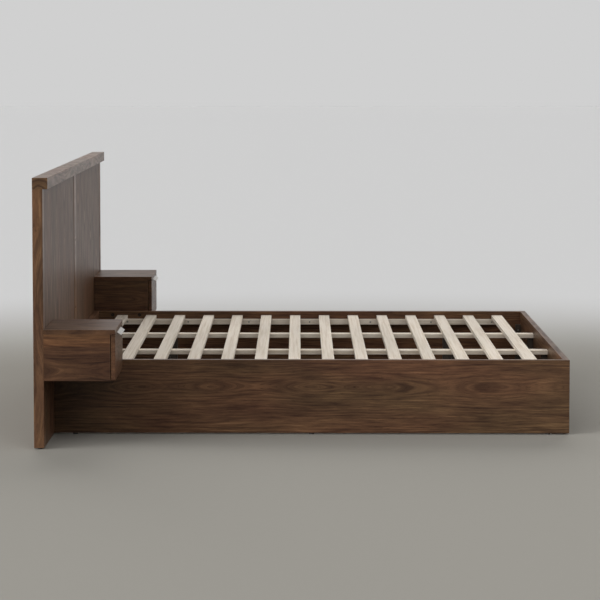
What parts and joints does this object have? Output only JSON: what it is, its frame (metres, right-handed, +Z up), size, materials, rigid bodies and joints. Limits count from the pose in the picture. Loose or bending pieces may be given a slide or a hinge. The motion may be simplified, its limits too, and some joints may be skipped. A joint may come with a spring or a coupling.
{
  "type": "platform bed with nightstands",
  "caption": "Low wooden platform bed with a capped panel headboard, a slatted base, and hanging nightstands with drawers at both sides.",
  "frame": {"origin": "on the floor, under the middle of the whole bed's box", "axes": "+X from the headboard to the foot, +Y across the bed to its right-hand side, +Z up"},
  "size_m": [2.13, 2.226, 1.062],
  "materials": {
    "walnut": "satin lacquered walnut veneer",
    "poplar": "sawn and sanded, unfinished",
    "stained_leg": "dark stain, matt",
    "beech": "unfinished, fluted stock",
    "birch_ply": "clear lacquered birch plywood",
    "satin_nickel": "brushed satin nickel",
    "slide_steel": "bright zinc plate",
    "zinc_steel": "zinc plated",
    "dark_bronze": "steel with a dark bronze finish",
    "nylon": "moulded nylon"
  },
  "bodies": {
    "frame": {"headboard_post_left": "walnut", "headboard_post_center": "walnut", "headboard_post_right": "walnut", "headboard_lower_boards": "walnut", "headboard_panel_left": "walnut", "headboard_panel_right": "walnut", "headboard_cap": "walnut", "side_rail_left": "walnut", "side_rail_right": "walnut", "head_rail": "walnut", "foot_rail": "walnut", "cleat_left": "poplar", "cleat_right": "poplar", "beam_left": "poplar", "beam_right": "poplar", "support_blocks": "stained_leg", "support_legs": "stained_leg", "glides": "nylon", "wood_screws": "zinc_steel", "connector_bolts": "dark_bronze", "dowels": "beech", "slat_01": "poplar", "slat_02": "poplar", "slat_03": "poplar", "slat_04": "poplar", "slat_05": "poplar", "slat_06": "poplar", "slat_07": "poplar", "slat_08": "poplar", "slat_09": "poplar", "slat_10": "poplar", "slat_11": "poplar", "slat_12": "poplar", "slat_13": "poplar", "slat_14": "poplar", "left_stand_top": "walnut", "left_stand_bottom": "walnut", "left_stand_outer_side": "walnut", "left_stand_inner_side": "walnut", "left_stand_back": "walnut", "right_stand_top": "walnut", "right_stand_bottom": "walnut", "right_stand_outer_side": "walnut", "right_stand_inner_side": "walnut", "right_stand_back": "walnut", "cabinet_slides": "slide_steel"},
    "left_drawer": {"left_drawer_front": "walnut", "left_drawer_sides": "birch_ply", "left_drawer_back": "birch_ply", "left_drawer_bottom": "birch_ply", "left_drawer_pull": "satin_nickel", "left_drawer_slides": "slide_steel"},
    "left_slide_carriage": {"left_middle_slides": "slide_steel"},
    "right_drawer": {"right_drawer_front": "walnut", "right_drawer_sides": "birch_ply", "right_drawer_back": "birch_ply", "right_drawer_bottom": "birch_ply", "right_drawer_pull": "satin_nickel", "right_drawer_slides": "slide_steel"},
    "right_slide_carriage": {"right_middle_slides": "slide_steel"}
  },
  "joints": [
    {"name": "left_drawer_slide", "type": "slide", "parent": "frame", "child": "left_drawer", "axis": [1, 0, 0], "range_m": [0, 0.24]},
    {"name": "left_carriage_slide", "type": "slide", "parent": "frame", "child": "left_slide_carriage", "axis": [1, 0, 0], "range_m": [0, 0.12]},
    {"name": "right_drawer_slide", "type": "slide", "parent": "frame", "child": "right_drawer", "axis": [1, 0, 0], "range_m": [0, 0.24]},
    {"name": "right_carriage_slide", "type": "slide", "parent": "frame", "child": "right_slide_carriage", "axis": [1, 0, 0], "range_m": [0, 0.12]}
  ],
  "couplings": [
    {"joint": "left_carriage_slide", "follows": "left_drawer_slide", "ratio": 0.5},
    {"joint": "right_carriage_slide", "follows": "right_drawer_slide", "ratio": 0.5}
  ]
}
